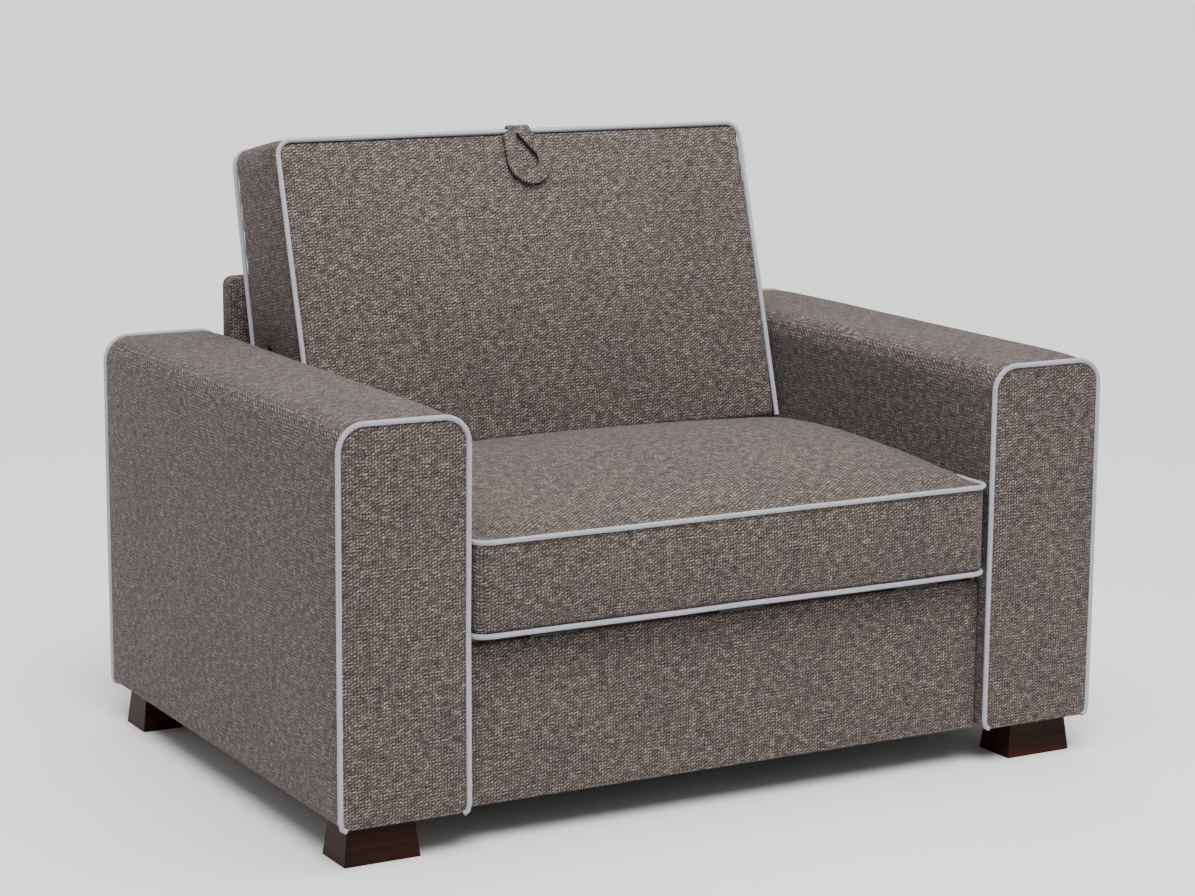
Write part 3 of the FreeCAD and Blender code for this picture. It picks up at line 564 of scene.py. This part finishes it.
# %% [markdown]
# ## The stuffed cushions
#
# Seat and back are foam cores under a sewn cover. The frame holds their plain forms. A
# cloth simulation turns each into a stuffed one: the skin is remeshed evenly, sewn down
# along its piping, blown up gently from inside and stopped after a few millimetres, so it
# swells most between the seams. The hidden underside stays as it is.

# %% Simulation helpers
def applied(piece):
    """The piece's mesh with its modifiers applied, and the modifiers removed."""
    evaluated = piece.evaluated_get(bpy.context.evaluated_depsgraph_get())
    mesh = bpy.data.meshes.new_from_object(evaluated)
    piece.modifiers.clear()
    piece.data = mesh
    return mesh


def even_skin(name, node, voxel):
    """A closed, evenly meshed copy of a frame solid."""
    bm = bmesh.new()
    bm.from_mesh(nodes[node].data)
    bmesh.ops.remove_doubles(bm, verts=bm.verts, dist=0.00005)
    piece = new_object(name, bm)
    remesh = piece.modifiers.new("even", "REMESH")
    remesh.mode = "VOXEL"
    remesh.voxel_size = voxel
    applied(piece)
    return piece


def blow_up(piece, held, pressure, limits):
    """Inflates the skin, sewn down where held(place) is near 1, moving no point over limits on any axis."""
    group = piece.vertex_groups.new(name="sewn")
    for vertex in piece.data.vertices:
        group.add([vertex.index], held(vertex.co), "REPLACE")
    cloth = piece.modifiers.new("stuffing", "CLOTH")
    cloth.settings.vertex_group_mass = "sewn"
    cloth.settings.use_pressure = True
    cloth.settings.uniform_pressure_force = pressure
    cloth.settings.effector_weights.gravity = 0.0
    cloth.point_cache.frame_start, cloth.point_cache.frame_end = 1, 20
    start = [vertex.co.copy() for vertex in piece.data.vertices]
    for step in range(1, 21):
        bpy.context.scene.frame_set(step)
    applied(piece)
    for vertex, before in zip(piece.data.vertices, start):
        move = vertex.co - before
        vertex.co = before + Vector(max(-most, min(most, step)) for step, most in zip(move, limits))
    bpy.context.scene.frame_set(1)
    furthest = max((vertex.co - before).length for vertex, before in zip(piece.data.vertices, start))
    print(piece.name, "swelled by up to", round(furthest * 1000, 1), "mm")


def soften(piece):
    """One subdivision, which also rounds the remeshed skin."""
    modifier = piece.modifiers.new("soften", "SUBSURF")
    modifier.levels = modifier.render_levels = 1


# %% Seat cushion
seat_low, seat_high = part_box("seat_cushion")
top_seam = sum(corner.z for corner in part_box("seat_top_piping")) / 2
bottom_seam = sum(corner.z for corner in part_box("seat_bottom_piping")) / 2
seat_front_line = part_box("seat_top_piping")[0].y + 0.004
seat_corner = 0.024


def turn_in_corners(piece, half, front, radius):
    """Draws the two front corners of the seat in to this radius, seen from above."""
    for vertex in piece.data.vertices:
        side = 1 if vertex.co.x > 0 else -1
        centre = Vector((side * (half - radius), front + radius))
        away = vertex.co.xy - centre
        if away.x * side > 0 and away.y < 0 and away.length > radius:
            vertex.co.xy = centre + away * (radius / away.length)


def seat_is_held(place):
    """The seat's skin is sewn down at its two seams, and held underneath and at the rear."""
    at_side = place.y < seat_front_line + 0.02 or abs(place.x) > seat_high.x - 0.02
    near_seam = min(abs(place.z - top_seam), abs(place.z - bottom_seam)) < 0.007
    underneath = place.z < bottom_seam + 0.004 or (abs(place.x) < seat_high.x - 0.02 and place.z < top_seam - 0.04
                                                    and place.y > seat_front_line + 0.02)
    at_rear = place.y > seat_high.y - 0.008
    return 1.0 if (at_side and near_seam) or underneath or at_rear else 0.0


def raise_crown(piece, half, front, rear, height):
    """Lifts the seat's top, steeply beside its side and front seams and not at the rear."""
    for vertex in piece.data.vertices:
        if vertex.co.z < top_seam + 0.004:
            continue
        from_side = max(0.0, half - abs(vertex.co.x) - 0.006)
        from_front = max(0.0, vertex.co.y - front - 0.006)
        from_rear = max(0.0, rear - vertex.co.y)
        share = (1 - math.exp(-from_side / 0.03)) * (1 - math.exp(-from_front / 0.035))
        vertex.co.z += height * share * min(1.0, from_rear / 0.3)


seat = even_skin("seat_upholstery", "seat_cushion", 0.009)
turn_in_corners(seat, seat_high.x, seat_low.y + 0.006, seat_corner)
raise_crown(seat, seat_high.x, seat_low.y + 0.006, seat_high.y, 0.014)
blow_up(seat, seat_is_held, 4.0, (0.003, 0.007, 0.013))
dress(seat, "seat_cushion", fill=0.85)
soften(seat)
print("seat", len(seat.data.polygons), "faces")

# %% [markdown]
# ### The leaning back
#
# The back section was designed upright and then leaned by the angle that is left when it
# unfolds. Standing it upright again makes its seams easy to name, and lays the weave square
# with the cushion.

# %% Back cushion
unfolding = next(joint for joint in frame["joints"] if joint["name"] == "back_unfold")
lean = math.radians(90.0 + unfolding["range_deg"][0])
hinge = Vector(unfolding["pos_m"])
to_upright = Matrix.Rotation(lean, 4, "X") @ Matrix.Translation(-hinge)
from_upright = to_upright.inverted()
hinge_depth = 0.055
back_half_width = 0.394
front_low, front_high = Vector((0, -0.190, 0.059)), Vector((0, -0.165, 0.524))
back_top = 0.532


def back_is_held(place):
    """The back's skin is sewn down along its front and rear outlines and held behind."""
    upright = to_upright @ place
    depth = upright.y - hinge_depth
    share = (upright.z - front_low.z) / (front_high.z - front_low.z)
    front_line = front_low.y + (front_high.y - front_low.y) * share
    at_rim = abs(upright.x) > back_half_width - 0.016 or upright.z > back_top - 0.016
    near_seam = min(abs(depth), abs(depth - front_line)) < 0.009
    inside = depth > -0.08 and abs(upright.x) < back_half_width - 0.02 and upright.z < back_top - 0.03
    low = upright.z < front_low.z + 0.02
    return 1.0 if (at_rim and near_seam) or inside or low else 0.0


back = even_skin("back_upholstery", "back_cushion", 0.009)
blow_up(back, back_is_held, 4.0, (0.006, 0.009, 0.008))
dress(back, "back_cushion", fill=0.9, turn=to_upright)
soften(back)
print("back", len(back.data.polygons), "faces")

# %% [markdown]
# ## Corded piping
#
# A piping cord is sewn into each seam: along both ends of an arm, round the front of the
# seat at two heights, and round the front and the rear of the back. Every run is the same
# shape, an arch with two rounded corners, so one function lays it out and a curve with a
# round bevel gives it its thickness. A very slight wander keeps it from looking drawn.

# %% Piping runs
def arch_route(half, height, corner, steps=8, foot=0.0):
    """Points up one side, round the top and down the other; the ends turn in by foot."""
    ends = [(half - 0.7 * foot, 0.0), (half - 0.2 * foot, 0.3 * foot), (half, foot)] if foot else [(half, 0.0)]
    route = [(-across, up) for across, up in ends] + [(-half, (height - corner) / 2)]
    for side in (-1, 1):
        middle = (side * (half - corner), height - corner)
        for step in range(steps + 1):
            turn = math.pi / 2 * step / steps
            start = math.pi if side < 0 else math.pi / 2
            route.append((middle[0] + corner * math.cos(start - turn), middle[1] + corner * math.sin(start - turn)))
        if side < 0:
            gaps = max(1, round(2 * (half - corner) / 0.1))
            inner = half - corner
            route += [(-inner + 2 * inner * step / gaps, height) for step in range(1, gaps)]
    return route + [(half, (height - corner) / 2)] + ends[::-1]


def piping(name, node, route, place, wander=0.0014):
    """A cord along the route, which place(across, up) puts into the chair."""
    curve = bpy.data.curves.new(name, "CURVE")
    curve.dimensions = "3D"
    curve.bevel_depth = piping_radius
    curve.bevel_resolution = 4
    curve.use_fill_caps = True
    spline = curve.splines.new("POLY")
    spline.points.add(len(route) - 1)
    for point, (across, up) in zip(spline.points, route):
        spot = Vector(place(across, up))
        point.co = (*(spot + wander * noise.noise_vector(spot * 7.0)), 1.0)
    helper = bpy.data.objects.new(name + "_route", curve)
    bpy.context.scene.collection.objects.link(helper)
    mesh = bpy.data.meshes.new_from_object(helper.evaluated_get(bpy.context.evaluated_depsgraph_get()))
    bpy.data.objects.remove(helper)
    piece = bpy.data.objects.new(name, mesh)
    bpy.context.scene.collection.objects.link(piece)
    give_finish(piece, "piping")
    mesh.shade_smooth()
    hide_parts(node)
    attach(piece, body_of_node[node])
    return piece


piping_radius = 0.0036
for side, name in ((-1, "left_arm"), (1, "right_arm")):
    low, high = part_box(name + "_cover")
    middle = (low.x + high.x) / 2
    route = arch_route((high.x - low.x) / 2, high.z - low.z, arm_top_radius, foot=arm_foot_radius)
    cords = [
        piping(f"{name}_{end}_cord", name + "_piping", route,
               lambda across, up, y=y: (middle + across, y, low.z + up))
        for end, y in (("front", low.y), ("rear", high.y))
    ]
    print(name, len(cords), "cords")

for level, name in ((top_seam, "seat_top"), (bottom_seam, "seat_bottom")):
    low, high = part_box(name + "_piping")
    route = arch_route(high.x - piping_radius, high.y - low.y - piping_radius, seat_corner)
    rear = high.y
    piping(name + "_cord", name + "_piping", route, lambda across, up: (across, rear - up, level))

back_corner = 0.024
front_run = (front_high - front_low).length
front_up = (front_high - front_low) / front_run
front_route = arch_route(back_half_width - 0.001, front_run, back_corner)
rear_route = arch_route(back_half_width - 0.001, back_top - front_low.z, back_corner)
to_hinge_line = Vector((0.0, hinge_depth, 0.0))
piping("back_front_cord", "back_front_piping", front_route,
       lambda across, up: from_upright @ (Vector((across, 0, 0)) + front_low + front_up * up + to_hinge_line))
piping("back_rear_cord", "back_rear_piping", rear_route,
       lambda across, up: from_upright @ (Vector((across, 0, front_low.z + up)) + to_hinge_line))
print("piping laid")

# %% [markdown]
# ## The pull loop
#
# The loop is a flat strap of the cover cloth, folded and sewn in behind the top cord. The
# frame already has its teardrop outline. A copy of that solid, merged and remeshed finely,
# is rounded by a light smoothing so that its edges look turned in rather than cut.

# %% Pull loop
loop = even_skin("pull_loop_strap", "pull_loop", 0.0011)
loop_low, loop_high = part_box("pull_loop")
for vertex in loop.data.vertices:
    hang = (loop_high.z - vertex.co.z) / (loop_high.z - loop_low.z)
    vertex.co.y -= 0.009 * max(0.0, hang - 0.12)
smoothing = loop.modifiers.new("turned_edges", "SMOOTH")
smoothing.factor, smoothing.iterations = 0.5, 6
applied(loop)
dress(loop, "pull_loop", fill=0.9, turn=to_upright)
print("loop", len(loop.data.polygons), "faces")

# %% [markdown]
# ## Mattress pads
#
# When the chair opens, three pads in striped ticking make the bed. Each is a foam slab in a
# quilted cover, so its sleeping face is dimpled where it is tufted through. The dimples are
# made by pressing the face in around a regular set of points.

# %% Quilted pads
def quilted_pad(name, node, turn, sleeping_side, tuft_gap=0.11, dimple=0.005):
    """A slab whose face on sleeping_side (an axis and a sign, in the upright frame) is tufted."""
    axis, sign = sleeping_side
    upright = turn or Matrix.Identity(4)
    corners = [upright @ vertex.co for vertex in nodes[node].data.vertices]
    low = Vector(min(place[k] for place in corners) for k in range(3))
    high = Vector(max(place[k] for place in corners) for k in range(3))
    bm = cube_between(low, high)
    round_edges(bm, lambda middle, along: True, 0.006, 3)
    cut_cells(bm, 0.011)
    across, along = [k for k in range(3) if k != axis]
    counts = {k: max(2, round((high[k] - low[k]) / tuft_gap)) for k in (across, along)}
    for vertex in bm.verts:
        face = high[axis] if sign > 0 else low[axis]
        if abs(vertex.co[axis] - face) > 0.0005:
            continue
        waves = 1.0
        for k in (across, along):
            share = (vertex.co[k] - low[k]) / (high[k] - low[k])
            waves *= abs(math.sin(math.pi * share * counts[k]))
        vertex.co[axis] -= sign * dimple * (1.0 - waves ** 0.35)
    bmesh.ops.transform(bm, matrix=upright.inverted(), verts=bm.verts)
    pad = new_object(name, bm)
    dress(pad, node, slot="ticking", fill=0.9, turn=turn)
    print(name, len(pad.data.polygons), "faces")
    return pad


quilted_pad("head_pad", "head_mattress", None, (2, 1))
quilted_pad("middle_pad", "middle_mattress", None, (2, -1))
quilted_pad("foot_pad", "foot_mattress", to_upright, (1, 1))

# %% [markdown]
# ## The dust cloth
#
# Underneath, a black cloth is stapled to the rails. It is held at its edges and sags a few
# millimetres in the middle, so it is a grid pressed down by a shallow bowl.

# %% Dust cloth
cloth_low, cloth_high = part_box("dust_cover")
cloth_size = cloth_high - cloth_low
bm = bmesh.new()
bmesh.ops.create_grid(bm, x_segments=48, y_segments=44, size=0.5)
for vertex in bm.verts:
    bowl = (1 - (2 * vertex.co.x) ** 2) * (1 - (2 * vertex.co.y) ** 2)
    ripple = 0.0012 * noise.noise(Vector((vertex.co.x * 9, vertex.co.y * 9, 0.0)))
    vertex.co.z = -(0.006 * bowl + ripple * bowl)
bmesh.ops.scale(bm, vec=(cloth_size.x, cloth_size.y, 1.0), verts=bm.verts)
bmesh.ops.translate(bm, vec=((cloth_low.x + cloth_high.x) / 2, (cloth_low.y + cloth_high.y) / 2, cloth_high.z),
                    verts=bm.verts)
dust = new_object("dust_cloth_sheet", bm)
thickness = dust.modifiers.new("thickness", "SOLIDIFY")
thickness.thickness, thickness.offset = 0.0006, 1.0
applied(dust)
lay_weave(dust)
give_finish(dust, "dust_cloth")
dust.data.shade_smooth()
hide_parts("dust_cover")
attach(dust, "base")
print("dust cloth sags", round(cloth_high.z - min(v.co.z for v in dust.data.vertices), 4), "m")

# %% [markdown]
# ## Edges of the dark wooden feet
#
# The frame's rigid pieces have the right shapes, so they stay, but their edges are knife sharp. On the dark wooden
# feet, a Weld and a small Bevel modifier break those edges, which is what catches the light on real wood.

# %% Broken edges
def break_edges(node, width):
    piece = nodes[node]
    weld = piece.modifiers.new("weld", "WELD")
    weld.merge_threshold = 0.00005
    bevel = piece.modifiers.new("broken_edges", "BEVEL")
    bevel.width = width
    bevel.segments = 2
    bevel.limit_method = "ANGLE"
    bevel.angle_limit = math.radians(30)
    bevel.harden_normals = True


for node in nodes:
    if slot_of_node[node] == "dark_wood":
        break_edges(node, 0.0015)
print("feet have broken edges")
